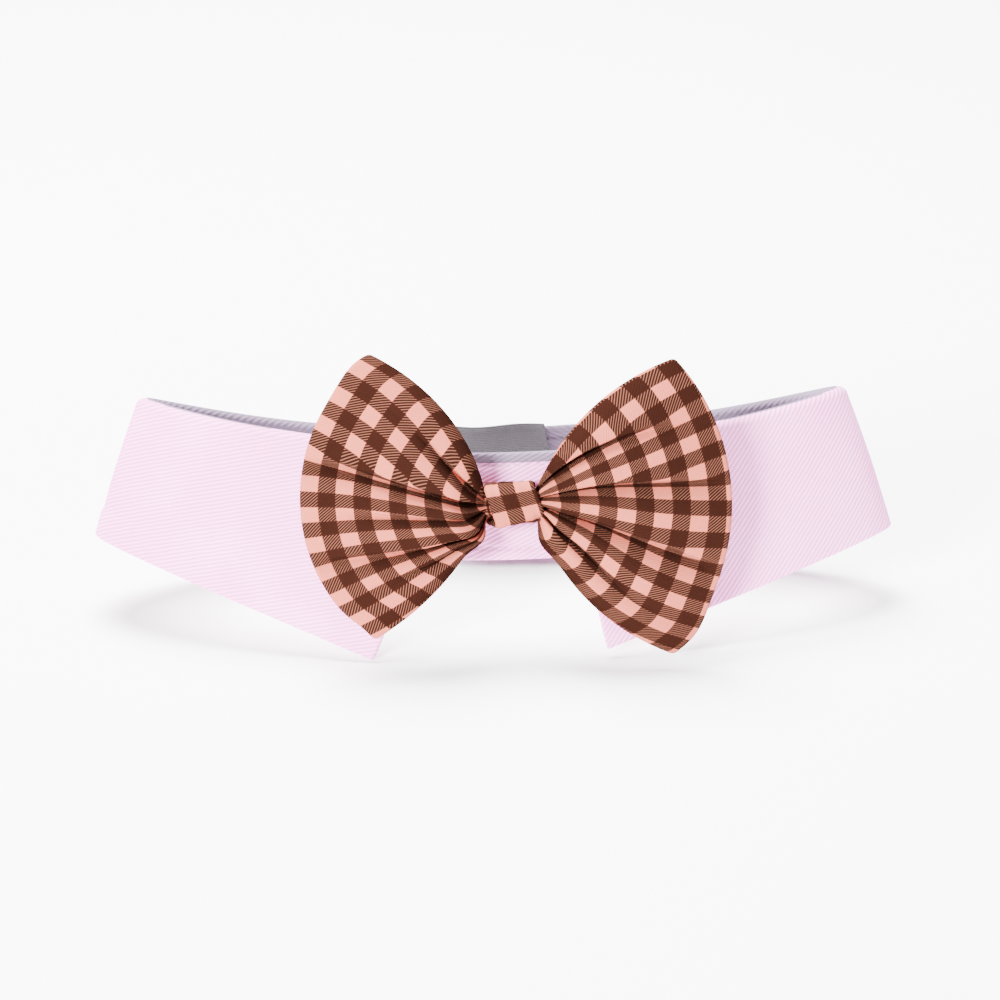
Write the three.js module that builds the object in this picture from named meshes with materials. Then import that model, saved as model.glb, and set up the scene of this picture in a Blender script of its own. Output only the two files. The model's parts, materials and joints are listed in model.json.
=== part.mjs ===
// A bow tie collar for a small pet: a shirt-style collar of white twill with two pointed leaves
// folded over a neck band, a gathered gingham bow stitched to the front of the band, a size label
// inside the back, and a hook-and-loop overlap that closes the neck loop.
// Units are millimetres. +Z is up, +X is the viewer's right and the front faces -Y. The collar is
// built upright and then leans back as it does on a table, standing on its two points and its back.
import * as THREE from "three";

// Neck loop: the oval of the band's middle surface at its top edge, cut to a cone.
const NECK_HALF_WIDTH = 84.5;
const NECK_HALF_DEPTH = 26;
const NECK_PINCH = 0.2; // how far the oval is squeezed towards its two ends
const CONE_SLANT = 300; // from the cone's apex to the top edge, the same all the way round

// Cloth
const SEAM_GAP = 0.3; // between pieces that are stitched together
const BAND_THICKNESS = 1.8;
const BAND_HEIGHT = 25.6;
const BAND_FLARE = 0.5; // the band's share of the cone's flare, 1 being the whole
const BAND_EDGE_ROUND = 0.45;
const FRONT_PANEL = 12; // flat width in the middle of the front, where the bow is stitched

// Leaves, measured down from the band's top edge
const LEAF_THICKNESS = 1.2;
const LEAF_LIP = 3; // how far a leaf is turned down inside the band
const LEAF_TOP_GAP = 26.5; // between the two leaves at the fold
const POINT_SPREAD = 54.4; // between the two points
const LEAF_POINT_LENGTH = 50;
const LEAF_SIDE_HEIGHT = 33.9;
const LEAF_BACK_HEIGHT = 30;
const LEAF_FRONT_HEIGHT = 3; // where a leaf's front edge meets its fold
const LEAF_BELLY = 0.4; // how far a leaf swells away from a straight fall
const LEAF_FLARE = 1.1; // a leaf flares a little more than the cone
const ROLL_PRESS = 0.5; // how far the fold is pressed down

// Closure at the back: the left end dives under the right one.
const OVERLAP_START = -22; // along the band from the centre back, towards the viewer's right
const OVERLAP_RAMP = 10;
const TOP_END = -10; // where the upper end of the band stops
const TAB_END = 24; // where the lower end stops
const PAD_THICKNESS = 1.6;
const PAD_LENGTH = 24;
const PAD_HEIGHT = 16;
const PAD_CENTRE = 6;
const PAD_DROP = 4.6;
const TAB_RISE = 2.6; // the lower end sits this much above the upper one

// One row for each leaf: its side, its shares of the gap, of the spread, of the point's length and of
// the side's height, and how far past the centre back it ends.
const LEAVES = [
  {
    name: "collar_leaf_left",
    side: -1,
    gap: 0.47,
    spread: 0.55,
    length: 1,
    height: 0.92,
    beyondCentre: OVERLAP_START,
  },
  {
    name: "collar_leaf_right",
    side: 1,
    gap: 0.53,
    spread: 0.45,
    length: 0.96,
    height: 1,
    beyondCentre: -TOP_END,
  },
];

// Size label
const LABEL_WIDTH = 24;
const LABEL_HEIGHT = 14;
const LABEL_THICKNESS = 1;
const LABEL_CENTRE = 1.6;
const LABEL_DROP = 0; // below the top edge of the band's lower end

// Bow
const BOW_OFFSET = 2.4; // to the viewer's right of the collar's middle
const BOW_DROP = 11.9; // from the band's top edge to the middle of the knot
const KNOT_WIDTH = 12.2;
const KNOT_WALL = 1.4;
const KNOT_ROUND = 2.2;
const WAIST_HALF_HEIGHT = 3.3;
const WAIST_HALF_DEPTH = 2.7;
const WING_WALL = 1.5;
const WING_REACH = 45.4; // from the knot to the outer edge
const WING_PUFF = 4.2; // how far the cloth swells in front of the wing's middle
const BACK_PUFF = 2.2;
const WING_FORWARD = 4.6; // how far a wing swings forward to clear the leaf
const WING_FORWARD_RUN = 0.2; // share of the wing over which it does so
const FOLD_DEPTH = 4;
const FOLD_WIDTH = 0.065; // half a fold's width, as a share of the cloth's height

// One row for each wing: the angles of its two edges at the tips, how much steeper the edges leave
// the knot, its shares of the reach along its top, middle and bottom, and its folds. A fold's place
// across the cloth is 0 at the top and 1 at the bottom, and it has shares of the depth and the reach.
const WINGS = [
  {
    name: "bow_wing_left",
    side: -1,
    topAngle: 51.3,
    bottomAngle: 47.2,
    topBulge: 25.5,
    bottomBulge: 17,
    top: 0.91,
    middle: 0.96,
    bottom: 0.85,
    folds: [
      { across: 0.2, depth: 0.8, reach: 0.45 },
      { across: 0.4, depth: 1, reach: 0.95 },
      { across: 0.585, depth: 0.6, reach: 0.55 },
      { across: 0.73, depth: 0.9, reach: 0.85 },
      { across: 0.85, depth: 0.5, reach: 0.6 },
    ],
  },
  {
    name: "bow_wing_right",
    side: 1,
    topAngle: 43.5,
    bottomAngle: 46.8,
    topBulge: 25,
    bottomBulge: 27,
    top: 0.976,
    middle: 1,
    bottom: 0.974,
    folds: [
      { across: 0.2, depth: 0.9, reach: 0.85 },
      { across: 0.41, depth: 1, reach: 1 },
      { across: 0.65, depth: 1, reach: 1 },
      { across: 0.83, depth: 0.7, reach: 0.6 },
    ],
  },
];

// Fineness of the faceted walls
const STATION_DEGREES = 4.5;
const ROLL_STEPS = 6;
const FALL_SHARES = [0.3, 0.6, 0.85, 1];
const ROW_SPACING = 0.055; // widest step across the cloth
const WING_STATIONS = [0.04, 0.1, 0.18, 0.28, 0.4, 0.54, 0.7, 0.85, 0.94];
const CAVITY_EDGE = 0.07; // share of the cloth's height that each edge seam takes from the hollow

const COLOURS = { twill: 0xf6e4f2, gingham: 0x9c6a58, label: 0xe6e4e8, tape: 0xe9e2ea };

const degrees = Math.PI / 180;
const bandHalf = BAND_THICKNESS / 2;
const rollInside = bandHalf + SEAM_GAP;
const rollOutside = rollInside + LEAF_THICKNESS;
const overlapInset = BAND_THICKNESS + PAD_THICKNESS + 2 * SEAM_GAP;

function smooth(share) {
  const x = Math.min(1, Math.max(0, share));
  return x * x * (3 - 2 * x);
}

// The oval, measured along its length from the centre front towards the viewer's right.
function ovalPath(halfWidth, halfDepth, pinch) {
  const steps = 720;
  const place = (angle) => {
    const depth = halfDepth * (1 - pinch * Math.sin(angle) ** 2);
    return new THREE.Vector2(halfWidth * Math.sin(angle), -depth * Math.cos(angle));
  };
  const lengths = [0];
  for (let i = 1; i <= steps; i++) {
    const from = place(((i - 1) / steps) * 2 * Math.PI);
    const to = place((i / steps) * 2 * Math.PI);
    lengths.push(lengths[i - 1] + from.distanceTo(to));
  }
  const round = lengths[steps];
  const angleAt = (length) => {
    const turns = Math.floor(length / round);
    const rest = length - turns * round;
    let i = Math.min(steps - 1, Math.floor((rest / round) * steps));
    while (i > 0 && lengths[i] > rest) i--;
    while (i < steps - 1 && lengths[i + 1] < rest) i++;
    const share = (rest - lengths[i]) / (lengths[i + 1] - lengths[i]);
    return ((i + share) / steps + turns) * 2 * Math.PI;
  };
  const lengthAt = (angle) => {
    const turns = Math.floor(angle / (2 * Math.PI));
    const step = (angle / (2 * Math.PI) - turns) * steps;
    const i = Math.min(steps - 1, Math.floor(step));
    return turns * round + lengths[i] + (step - i) * (lengths[i + 1] - lengths[i]);
  };
  const at = (length) => {
    const angle = angleAt(length);
    const { x, y } = place(angle);
    const along = place(angle + 0.001).sub(place(angle - 0.001)).normalize();
    return { x, y, outward: new THREE.Vector2(along.y, -along.x) };
  };
  return { round, angleAt, lengthAt, at };
}

const neck = ovalPath(NECK_HALF_WIDTH, NECK_HALF_DEPTH, NECK_PINCH);
const halfRound = neck.round / 2;

// A point of the collar: out from the band's middle surface, and down from its top edge.
function collarPoint(length, out, down, flare) {
  const { x, y, outward } = neck.at(length);
  const apex = Math.sqrt(CONE_SLANT ** 2 - NECK_HALF_DEPTH ** 2);
  const top = apex - Math.sqrt(CONE_SLANT ** 2 - x * x - y * y);
  const lean = new THREE.Vector3((flare * x) / CONE_SLANT, (flare * y) / CONE_SLANT, 0);
  const fall = -Math.sqrt(1 - lean.lengthSq());
  return new THREE.Vector3(
    x + outward.x * out + lean.x * down,
    y + outward.y * out + lean.y * down,
    top + fall * down,
  );
}

// Lengths along the band between the given stops, closer together where the oval turns tightly.
function stationsBetween(...stops) {
  const lengths = [stops[0]];
  for (let i = 1; i < stops.length; i++) {
    const from = neck.angleAt(stops[i - 1]);
    const to = neck.angleAt(stops[i]);
    const count = Math.max(1, Math.round((to - from) / (STATION_DEGREES * degrees)));
    for (let k = 1; k < count; k++) lengths.push(neck.lengthAt(from + ((to - from) * k) / count));
    lengths.push(stops[i]);
  }
  return lengths;
}

// A closed geometry from a list of points and triangles, turned so that its faces point out.
function solidFrom(points, triangles) {
  let volume = 0;
  for (const [a, b, c] of triangles) {
    volume += points[a].dot(new THREE.Vector3().crossVectors(points[b], points[c]));
  }
  const turned = volume < 0 ? triangles.map(([a, b, c]) => [a, c, b]) : triangles;
  const geometry = new THREE.BufferGeometry();
  geometry.setAttribute(
    "position",
    new THREE.Float32BufferAttribute(points.flatMap((p) => p.toArray()), 3),
  );
  geometry.setIndex(turned.flat());
  geometry.computeVertexNormals();
  return geometry;
}

// Cloth of even thickness: each section is two rails of points, its outer and its inner face.
function clothWall(sections) {
  const points = [];
  const triangles = [];
  const count = sections[0].outer.length;
  for (const { outer, inner } of sections) points.push(...outer, ...[...inner].reverse());
  const ring = 2 * count;
  const quad = (a, b, c, d) => triangles.push([a, b, c], [a, c, d]);
  for (let i = 0; i + 1 < sections.length; i++) {
    for (let k = 0; k < ring; k++) {
      const next = (k + 1) % ring;
      quad(i * ring + k, i * ring + next, (i + 1) * ring + next, (i + 1) * ring + k);
    }
  }
  const last = (sections.length - 1) * ring;
  for (let k = 0; k + 1 < count; k++) {
    quad(k, ring - 1 - k, ring - 2 - k, k + 1);
    quad(last + k, last + k + 1, last + ring - 2 - k, last + ring - 1 - k);
  }
  return solidFrom(points, triangles);
}

// A strip that follows the oval at an even distance, such as the band, the pad and the label.
function strip(lengths, outAt, topAt, thickness, height, round = 0) {
  const half = thickness / 2;
  return clothWall(
    lengths.map((length) => {
      const out = outAt(length);
      const top = topAt(length);
      const rail = (face) =>
        [
          [face * (half - round), top],
          [face * half, top + round],
          [face * half, top + height - round],
          [face * (half - round), top + height],
        ].map(([side, down]) => collarPoint(length, out + side, down, BAND_FLARE));
      return { outer: rail(1), inner: rail(-1) };
    }),
  );
}

function mesh(name, geometry, colour, roughness = 0.9) {
  const material = new THREE.MeshStandardMaterial({ color: colour, roughness, metalness: 0 });
  const made = new THREE.Mesh(geometry, material);
  made.name = name;
  return made;
}

// The band's lower end dives under the upper one: how much of the dive is done at a length.
function dive(length) {
  return smooth((-halfRound - OVERLAP_START - length) / OVERLAP_RAMP);
}

function collarBand() {
  const rampAt = -halfRound - OVERLAP_START;
  const lengths = [
    ...stationsBetween(
      -halfRound - TAB_END,
      rampAt - OVERLAP_RAMP,
      rampAt - OVERLAP_RAMP / 2,
      rampAt,
      -FRONT_PANEL / 2,
    ),
    ...stationsBetween(FRONT_PANEL / 2, halfRound - TOP_END),
  ];
  const band = strip(
    lengths,
    (length) => -overlapInset * dive(length),
    (length) => -TAB_RISE * dive(length),
    BAND_THICKNESS,
    BAND_HEIGHT,
    BAND_EDGE_ROUND,
  );
  return mesh("collar_band", band, COLOURS.twill);
}

function closurePad() {
  const out = -(bandHalf + SEAM_GAP + PAD_THICKNESS / 2);
  const from = -halfRound - PAD_CENTRE - PAD_LENGTH / 2;
  const pad = strip(
    stationsBetween(from, from + PAD_LENGTH),
    () => out,
    () => PAD_DROP,
    PAD_THICKNESS,
    PAD_HEIGHT,
  );
  return mesh("closure_pad", pad, COLOURS.tape, 1);
}

function sizeLabel() {
  const out = -(overlapInset + bandHalf + SEAM_GAP + LABEL_THICKNESS / 2);
  const from = -halfRound - LABEL_CENTRE - LABEL_WIDTH / 2;
  const label = strip(
    stationsBetween(from, from + LABEL_WIDTH),
    () => out,
    () => LABEL_DROP - TAB_RISE,
    LABEL_THICKNESS,
    LABEL_HEIGHT,
  );
  return mesh("size_label", label, COLOURS.label, 0.6);
}

// A leaf's cut. Its front edge slants out to the point, its lower edge runs straight from the point
// along the side, and behind the side its height eases to that of the back.
function leafCut(leaf) {
  const frontAt = leaf.gap * LEAF_TOP_GAP;
  const pointLength = leaf.length * LEAF_POINT_LENGTH;
  const sideHeight = leaf.height * LEAF_SIDE_HEIGHT;
  const tipAt = (leaf.spread * POINT_SPREAD) / (1 + pointLength / CONE_SLANT);
  const sideArc = CONE_SLANT + sideHeight;
  const turnAt = tipAt + CONE_SLANT * Math.acos(sideArc / (CONE_SLANT + pointLength));
  const heightAt = (length) => {
    if (length < tipAt) {
      const share = (length - frontAt) / (tipAt - frontAt);
      return LEAF_FRONT_HEIGHT + (pointLength - LEAF_FRONT_HEIGHT) * share;
    }
    if (length < turnAt) return sideArc / Math.cos((turnAt - length) / CONE_SLANT) - CONE_SLANT;
    const behind = smooth((length - turnAt) / (halfRound - turnAt));
    return sideHeight + (LEAF_BACK_HEIGHT - sideHeight) * behind;
  };
  return { frontAt, tipAt, turnAt, heightAt };
}

function leafRail(length, height, radius) {
  const rail = [collarPoint(length, -radius, LEAF_LIP, BAND_FLARE)];
  for (let i = 0; i <= ROLL_STEPS; i++) {
    const turn = Math.PI * (1 - i / ROLL_STEPS);
    const down = -(radius - ROLL_PRESS) * Math.sin(turn);
    rail.push(collarPoint(length, radius * Math.cos(turn), down, BAND_FLARE));
  }
  for (const share of FALL_SHARES) {
    const belly = LEAF_BELLY * Math.sin(Math.PI * share);
    rail.push(collarPoint(length, radius + belly, height * share, LEAF_FLARE));
  }
  return rail;
}

// One leaf, from its front edge round to where it ends at the back.
function collarLeaf(leaf) {
  const { frontAt, tipAt, turnAt, heightAt } = leafCut(leaf);
  const end = halfRound + leaf.beyondCentre;
  const lengths = stationsBetween(frontAt, (frontAt + tipAt) / 2, tipAt, turnAt, end);
  const sections = lengths.map((length) => ({
    outer: leafRail(leaf.side * length, heightAt(length), rollOutside),
    inner: leafRail(leaf.side * length, heightAt(length), rollInside),
  }));
  return mesh(leaf.name, clothWall(sections), COLOURS.twill);
}

// How deep the folds press the front of a wing in, across the cloth and out from the knot.
function foldPress(wing, across, out) {
  let press = 0;
  for (const fold of wing.folds) {
    const away = Math.abs(across - fold.across) / FOLD_WIDTH;
    const run = smooth(out / 0.12) * smooth((fold.reach - out) / (0.75 * fold.reach));
    if (away < 1) press = Math.max(press, fold.depth * run * smooth(1 - away));
  }
  return press;
}

// A point on the middle of a wing: across is 0 at the top of the cloth and 1 at the bottom, and
// out is 0 at the knot and 1 at the outer edge, or below 0 in the waist inside the knot.
function wingMiddle(wing, across, out) {
  const halfKnot = KNOT_WIDTH / 2;
  const start = WAIST_HALF_HEIGHT * (1 - 2 * across);
  const waist = -KNOT_WALL - 2 * SEAM_GAP - WAIST_HALF_DEPTH;
  if (out <= 0) return { x: wing.side * halfKnot * (1 + out), y: waist, z: start };
  const top = (wing.topAngle + wing.topBulge * (1 - out)) * degrees;
  const bottom = -(wing.bottomAngle + wing.bottomBulge * (1 - out)) * degrees;
  const angle = top + (bottom - top) * across;
  const ends = wing.top + (wing.bottom - wing.top) * across;
  const swell = wing.middle - (wing.top + wing.bottom) / 2;
  const reach = WING_REACH * (ends + swell * 4 * across * (1 - across)) * out;
  return {
    x: wing.side * (halfKnot + reach * Math.cos(angle)),
    y: waist - WING_FORWARD * smooth(out / WING_FORWARD_RUN),
    z: start + reach * Math.sin(angle),
  };
}

// The front and back of a wing at one place, each at a share of the way from seam to full swell.
function wingFaces(wing, across, out, wall) {
  const middle = wingMiddle(wing, across, out);
  const edge = Math.abs(2 * across - 1);
  const waistPuff = (WAIST_HALF_DEPTH - WING_WALL) * (1 - edge ** 4);
  const body = Math.sqrt(1 - edge ** 3);
  const full = out > 0 ? Math.sin(Math.PI * out ** 0.8) * body : 0;
  const atKnot = waistPuff * (1 - Math.max(0, out));
  const front = atKnot + WING_PUFF * full;
  const back = atKnot + BACK_PUFF * full;
  const deepest = 0.8 * (front + back);
  const press = Math.min(FOLD_DEPTH * foldPress(wing, across, Math.max(0, out)), deepest);
  return {
    front: new THREE.Vector3(middle.x, middle.y - front + press - wall, middle.z),
    back: new THREE.Vector3(middle.x, middle.y + back + wall, middle.z),
  };
}

// Places across the cloth where it is cut into rows, with rows along the fold lines.
function wingRows(wing) {
  const rows = [0, 0.5 * FOLD_WIDTH, 1 - 0.5 * FOLD_WIDTH, 1];
  for (const fold of wing.folds) {
    for (const part of [-1, -0.5, 0, 0.5, 1]) rows.push(fold.across + part * FOLD_WIDTH);
  }
  rows.sort((a, b) => a - b);
  const spaced = [0];
  for (const row of rows) {
    const last = spaced[spaced.length - 1];
    if (row < last + 0.2 * ROW_SPACING || row > 1) continue;
    const count = Math.ceil((row - last) / ROW_SPACING);
    for (let i = 1; i <= count; i++) spaced.push(last + ((row - last) * i) / count);
  }
  return spaced;
}

// A wing is a hollow pouch: an outer and an inner skin, joined round its mouth inside the knot.
function bowWing(wing) {
  const mouth = SEAM_GAP / KNOT_WIDTH - 1;
  const stations = [mouth, 0, ...WING_STATIONS];
  const rows = wingRows(wing);
  const ring = 2 * rows.length;
  const points = [];
  const triangles = [];
  const skin = (outs, wall, margin) => {
    const first = points.length;
    for (const out of outs) {
      const faces = rows.map((row) => {
        const across = row + margin * ((1 - row) ** 6 - row ** 6);
        return wingFaces(wing, across, out, wall);
      });
      points.push(...faces.map(({ front }) => front), ...faces.map(({ back }) => back).reverse());
    }
    return first;
  };
  const add = (faces, flip) => {
    for (const face of faces) triangles.push(flip ? face.reverse() : face);
  };
  const join = (a, b, flip) => {
    for (let k = 0; k < ring; k++) {
      const next = (k + 1) % ring;
      add([[a + k, a + next, b + next], [a + k, b + next, b + k]], flip);
    }
  };
  const close = (start, flip) => {
    for (let k = 0; k + 1 < rows.length; k++) {
      const across = start + ring - 1 - k;
      add([[start + k, start + k + 1, across - 1], [start + k, across - 1, across]], flip);
    }
  };
  const outer = skin([...stations, 1], WING_WALL, 0);
  const inner = skin(stations, 0, CAVITY_EDGE);
  for (let i = 0; i < stations.length; i++) join(outer + i * ring, outer + (i + 1) * ring, false);
  for (let i = 0; i + 1 < stations.length; i++) join(inner + i * ring, inner + (i + 1) * ring, true);
  close(outer + stations.length * ring, false);
  close(inner + (stations.length - 1) * ring, true);
  join(outer, inner, true);
  return mesh(wing.name, solidFrom(points, triangles), COLOURS.gingham);
}

function roundedBox(shape, halfDepth, halfHeight, round) {
  shape.moveTo(halfDepth - round, -halfHeight);
  shape.absarc(halfDepth - round, round - halfHeight, round, -Math.PI / 2, 0, false);
  shape.absarc(halfDepth - round, halfHeight - round, round, 0, Math.PI / 2, false);
  shape.absarc(round - halfDepth, halfHeight - round, round, Math.PI / 2, Math.PI, false);
  shape.absarc(round - halfDepth, round - halfHeight, round, Math.PI, 1.5 * Math.PI, false);
  return shape;
}

// The strip that is wrapped round the waist of the bow.
function knotWrap() {
  const insideDepth = WAIST_HALF_DEPTH + SEAM_GAP;
  const insideHeight = WAIST_HALF_HEIGHT + SEAM_GAP;
  const outsideDepth = insideDepth + KNOT_WALL;
  const outsideHeight = insideHeight + KNOT_WALL;
  const section = roundedBox(new THREE.Shape(), outsideDepth, outsideHeight, KNOT_ROUND);
  const hole = roundedBox(new THREE.Path(), insideDepth, insideHeight, KNOT_ROUND - KNOT_WALL);
  section.holes.push(hole);
  const geometry = new THREE.ExtrudeGeometry(section, {
    depth: KNOT_WIDTH,
    bevelEnabled: false,
    curveSegments: 5,
  });
  geometry.translate(0, 0, -KNOT_WIDTH / 2);
  geometry.rotateX(Math.PI / 2);
  geometry.rotateZ(Math.PI / 2);
  const knot = mesh("knot_wrap", geometry, COLOURS.gingham);
  knot.position.y = -SEAM_GAP - outsideDepth;
  return knot;
}

// The bow sits flat on the front panel of the band.
function bow() {
  const group = new THREE.Group();
  group.add(knotWrap(), ...WINGS.map(bowWing));
  const seat = collarPoint(FRONT_PANEL / 2, bandHalf, BOW_DROP, BAND_FLARE);
  group.position.set(BOW_OFFSET, seat.y, seat.z);
  group.rotation.x = -Math.asin((BAND_FLARE * NECK_HALF_DEPTH) / CONE_SLANT);
  return group;
}

function pointsIn(group) {
  const points = [];
  group.updateMatrixWorld(true);
  group.traverse((item) => {
    if (!item.isMesh) return;
    const position = item.geometry.getAttribute("position");
    for (let i = 0; i < position.count; i++) {
      points.push(new THREE.Vector3().fromBufferAttribute(position, i).applyMatrix4(item.matrixWorld));
    }
  });
  return points;
}

// The lean at which the front points and the back of the leaves stand on the same table.
function restingLean(points) {
  const lowest = (lean, isBack) =>
    points.reduce((low, p) => {
      const height = p.z * Math.cos(lean) - p.y * Math.sin(lean);
      return p.y > 0 === isBack ? Math.min(low, height) : low;
    }, Infinity);
  let from = 0;
  let to = 45 * degrees;
  for (let i = 0; i < 40; i++) {
    const lean = (from + to) / 2;
    if (lowest(lean, true) > lowest(lean, false)) from = lean;
    else to = lean;
  }
  return (from + to) / 2;
}

const collar = new THREE.Group();
collar.add(
  collarBand(),
  ...LEAVES.map(collarLeaf),
  closurePad(),
  sizeLabel(),
  bow(),
);
collar.rotation.x = -restingLean(pointsIn(collar));
const bounds = new THREE.Box3().setFromPoints(pointsIn(collar));
const middle = bounds.getCenter(new THREE.Vector3());
collar.position.set(-middle.x, -middle.y, -bounds.min.z);

const part = new THREE.Group();
part.add(collar);

export default part;
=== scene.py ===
"""The cloth, stitches and materials of a bow tie collar for a small pet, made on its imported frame."""

import json
import math

import bmesh
import bpy
import numpy as np
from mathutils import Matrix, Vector


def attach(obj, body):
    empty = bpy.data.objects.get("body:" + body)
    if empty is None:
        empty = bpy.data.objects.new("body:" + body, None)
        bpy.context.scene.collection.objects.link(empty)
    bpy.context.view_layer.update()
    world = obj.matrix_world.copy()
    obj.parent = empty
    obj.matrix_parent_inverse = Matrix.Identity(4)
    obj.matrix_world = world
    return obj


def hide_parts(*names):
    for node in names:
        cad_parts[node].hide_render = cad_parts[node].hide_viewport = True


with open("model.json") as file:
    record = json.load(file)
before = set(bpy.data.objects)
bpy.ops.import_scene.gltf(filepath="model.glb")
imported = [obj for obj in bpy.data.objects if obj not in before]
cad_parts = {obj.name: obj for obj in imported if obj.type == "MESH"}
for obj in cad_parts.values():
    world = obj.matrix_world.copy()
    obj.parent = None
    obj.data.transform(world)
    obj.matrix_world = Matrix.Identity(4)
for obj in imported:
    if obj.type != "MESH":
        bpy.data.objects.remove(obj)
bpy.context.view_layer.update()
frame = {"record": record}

bl_info = {
    "name": "Pet bow tie collar",
    "version": (1, 0, 0),
    "blender": (4, 5, 0),
    "location": "3D View > Sidebar > Bow collar",
    "description": "Makes the cloth of a shirt-style collar with a gathered check bow",
    "category": "Object",
}

MM = 0.001

# Neck loop, as in the part's source
NECK_HALF_WIDTH = 84.5 * MM
NECK_HALF_DEPTH = 26 * MM
NECK_PINCH = 0.2
CONE_SLANT = 300 * MM

# Band
SEAM_GAP = 0.3 * MM
BAND_THICKNESS = 1.8 * MM
BAND_HEIGHT = 25.6 * MM
BAND_FLARE = 0.5
FRONT_PANEL = 12 * MM
BAND_SEAM_INSET = 2.9 * MM  # from either long edge to its row of stitches
BAND_GROOVE_DEPTH = 0.55 * MM
BAND_GROOVE_WIDTH = 1.1 * MM
BAND_SWELL = 0.10 * MM
BAND_PUCKER = 0.06 * MM
BAND_EASE = 0.08 * MM  # how far the cloth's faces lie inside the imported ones

# Leaves
LEAF_THICKNESS = 1.2 * MM
LEAF_LIP = 3 * MM
LEAF_TOP_GAP = 26.5 * MM
POINT_SPREAD = 54.4 * MM
LEAF_POINT_LENGTH = 50 * MM
LEAF_SIDE_HEIGHT = 33.9 * MM
LEAF_BACK_HEIGHT = 30 * MM
LEAF_FRONT_HEIGHT = 3 * MM
LEAF_BELLY = 0.4 * MM
LEAF_FLARE = 1.1
ROLL_PRESS = 0.5 * MM  # how far the fold over the band's top edge is pressed flat
ROLL_SHARE = 0.8  # its cloth, as a share of a half circle
POINT_ROUND = 2.6 * MM
SEAM_ALLOWANCE = 6.6 * MM
SEAM_STEP = 0.4 * MM
SEAM_BLEND = 1.2 * MM
LEAF_DENT = 0.16 * MM
LEAF_DENT_REACH = 26 * MM
LEAF_DENT_TOP = 0.985 * CONE_SLANT  # the dents grow from here, over the next length
LEAF_DENT_RAMP = 12 * MM
LEAF_BACK_DENT = 0.6  # share of a dent that shows on the leaf's inner face
# how far past a leaf's lip the painted shade inside reaches
INSIDE_SHADE_MARGIN = 0.8 * MM
# How many cuts the mesh of a leaf has along its front edge and its side, and down its lip, roll and fall
LEAF_CUTS = {"front": 90, "side": 170, "lip": 5, "roll": 17, "fall": 56}
FINE_PAST_POINT = 3 * MM
LOW_EDGE = 0.2  # where a leaf is low, its edge is rounded over at most this share of its height
LEAF_CUT_SPARE = 40 * MM
LEAVES = [
    {"name": "leaf_cloth_left", "node": "collar_leaf_left", "side": -1, "gap": 0.47, "spread": 0.55,
     "length": 1.0, "height": 0.92, "beyond": -22 * MM, "wale_turn": 8},
    {"name": "leaf_cloth_right", "node": "collar_leaf_right", "side": 1, "gap": 0.58, "spread": 0.45,
     "length": 0.96, "height": 1.0, "beyond": 10 * MM, "wale_turn": 55},
]

# Closure and label
OVERLAP_START = -22 * MM
OVERLAP_RAMP = 10 * MM
TOP_END = -10 * MM
TAB_END = 24 * MM
TAB_RISE = 2.6 * MM
PAD_THICKNESS = 1.6 * MM
PAD_LENGTH = 24 * MM
PAD_HEIGHT = 16 * MM
PAD_CENTRE = 6 * MM
PAD_DROP = 4.6 * MM
PAD_PILE = 0.12 * MM
PAD_PILE_REACH = 2.2 * MM
PAD_PRESS = 0.3 * MM
LABEL_WIDTH = 24 * MM
LABEL_HEIGHT = 14 * MM
LABEL_THIN = 0.5 * MM
LABEL_CENTRE = 2.1 * MM
LABEL_SLANT = 0.15  # sideways for each millimetre down
LABEL_RISE = 0.7 * MM  # above the band's edge, which its fold covers
LABEL_WAVE = 0.35 * MM
LABEL_LIFT = 0.35 * MM
LABEL_GAP = 0.1 * MM
LABEL_SEAM = 1.4 * MM
LABEL_CREASE = 0.12 * MM

# Bow
BOW_OFFSET = 2.4 * MM
BOW_DROP = 11.9 * MM
KNOT_WIDTH = 12.2 * MM
KNOT_WALL = 1.4 * MM
KNOT_ROUND = 2.2 * MM
KNOT_CHECK = 3.85 * MM
KNOT_FIRST_ROW = 1.67
KNOT_FIRST_COLUMN = 1.7
# The knot is drawn askew: which corner of its front, and how far that moves to the right and up
KNOT_CORNERS = [
    (-1, 1, -0.5 * MM, -1.0 * MM),
    (1, 1, -1.0 * MM, 0.4 * MM),
    (1, -1, 2.1 * MM, 2.0 * MM),
    (-1, -1, 2.8 * MM, -1.1 * MM),
]
# Creases that run round the knot: place and width as shares of its half width, then depth
KNOT_CREASES = [(-0.55, 0.10, 0.16 * MM), (0.15, 0.12, 0.12 * MM), (0.62, 0.09, 0.15 * MM)]
CREASE_SWAY = 0.06
KNOT_SWELL = 0.25 * MM
KNOT_PINCH = 0.03
WAIST_HALF_HEIGHT = 3.3 * MM
WAIST_HALF_DEPTH = 2.7 * MM
WING_REACH = 45.4 * MM
WING_PUFF = 4.2 * MM
BACK_PUFF = 2.2 * MM
WING_FORWARD = 4.6 * MM
WING_FORWARD_RUN = 0.2
WING_CORNER = 1.3 * MM  # radius of a wing's sewn corner
WING_EDGE = 0.8 * MM  # half the thickness of a wing at its turned edges
WING_ROWS = 211  # cuts of each side's mesh from its upper edge to its lower one
WING_STATIONS = (7, 42, 66)  # and in the knot, near it and beyond
NEAR_KNOT = 0.3
FOLD_OVERLAP = 0.026
STEEP_SIDE = 0.28  # shares of a fold's width: the cloth drops steeply above the fold's line
GENTLE_SIDE = 1.7  # and comes back gently below it
DRAWN_WIDTH = 0.25
RIPPLE = 0.22 * MM
RIPPLE_REACH = 0.16  # share of the wing's reach over which the ripples at the knot die out
WING_DENT = 0.3 * MM
PRESS_LIMIT = 0.85  # share of the room inside a wing that its folds may take
BACK_CROWN = 0.5  # the back's crowns and folds are this much of the front's
BACK_FOLD = 0.35
BACK_SHIFT = 0.035  # and lie this far along
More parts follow.
